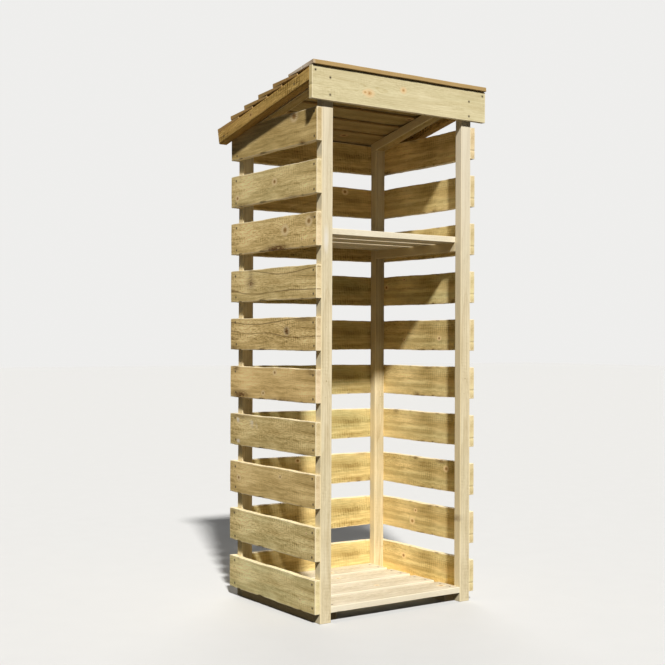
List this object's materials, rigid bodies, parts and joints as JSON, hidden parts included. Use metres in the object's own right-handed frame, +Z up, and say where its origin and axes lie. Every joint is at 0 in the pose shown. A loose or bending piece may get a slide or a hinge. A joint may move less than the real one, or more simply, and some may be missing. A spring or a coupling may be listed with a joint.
{
  "type": "log store",
  "caption": "Tall narrow open-fronted timber log store with slatted sides and back, a pent roof of lapped boards, a slatted floor and a high kindling shelf.",
  "frame": {"origin": "centre of the overall footprint, at ground level", "axes": "+X to the right seen from the front, +Y from the open front to the back, +Z up"},
  "size_m": [0.652, 0.5542, 1.6026],
  "materials": {
    "post_timber": "sawn, pressure treated",
    "slat_timber": "sawn, pressure treated",
    "bearer_timber": "sawn, pressure treated",
    "board_timber": "sawn, pressure treated",
    "barge_timber": "sawn, pressure treated",
    "fascia_timber": "sawn, pressure treated",
    "roof_timber": "sawn, pressure treated"
  },
  "bodies": {
    "root": {"front_left_post": "post_timber", "front_right_post": "post_timber", "back_left_post": "post_timber", "back_right_post": "post_timber", "left_slat_01": "slat_timber", "left_slat_02": "slat_timber", "left_slat_03": "slat_timber", "left_slat_04": "slat_timber", "left_slat_05": "slat_timber", "left_slat_06": "slat_timber", "left_slat_07": "slat_timber", "left_slat_08": "slat_timber", "left_slat_09": "slat_timber", "left_slat_10": "slat_timber", "right_slat_01": "slat_timber", "right_slat_02": "slat_timber", "right_slat_03": "slat_timber", "right_slat_04": "slat_timber", "right_slat_05": "slat_timber", "right_slat_06": "slat_timber", "right_slat_07": "slat_timber", "right_slat_08": "slat_timber", "right_slat_09": "slat_timber", "right_slat_10": "slat_timber", "back_slats": "slat_timber", "left_bottom_rail": "bearer_timber", "right_bottom_rail": "bearer_timber", "left_floor_bearer": "bearer_timber", "right_floor_bearer": "bearer_timber", "left_shelf_bearer": "bearer_timber", "right_shelf_bearer": "bearer_timber", "left_rafter": "bearer_timber", "right_rafter": "bearer_timber", "floor_boards": "board_timber", "shelf_boards": "board_timber", "left_barge_board": "barge_timber", "right_barge_board": "barge_timber", "fascia": "fascia_timber", "roof_board_1": "roof_timber", "roof_board_2": "roof_timber", "roof_board_3": "roof_timber", "roof_board_4": "roof_timber", "roof_board_5": "roof_timber", "roof_board_6": "roof_timber"}
  },
  "joints": []
}
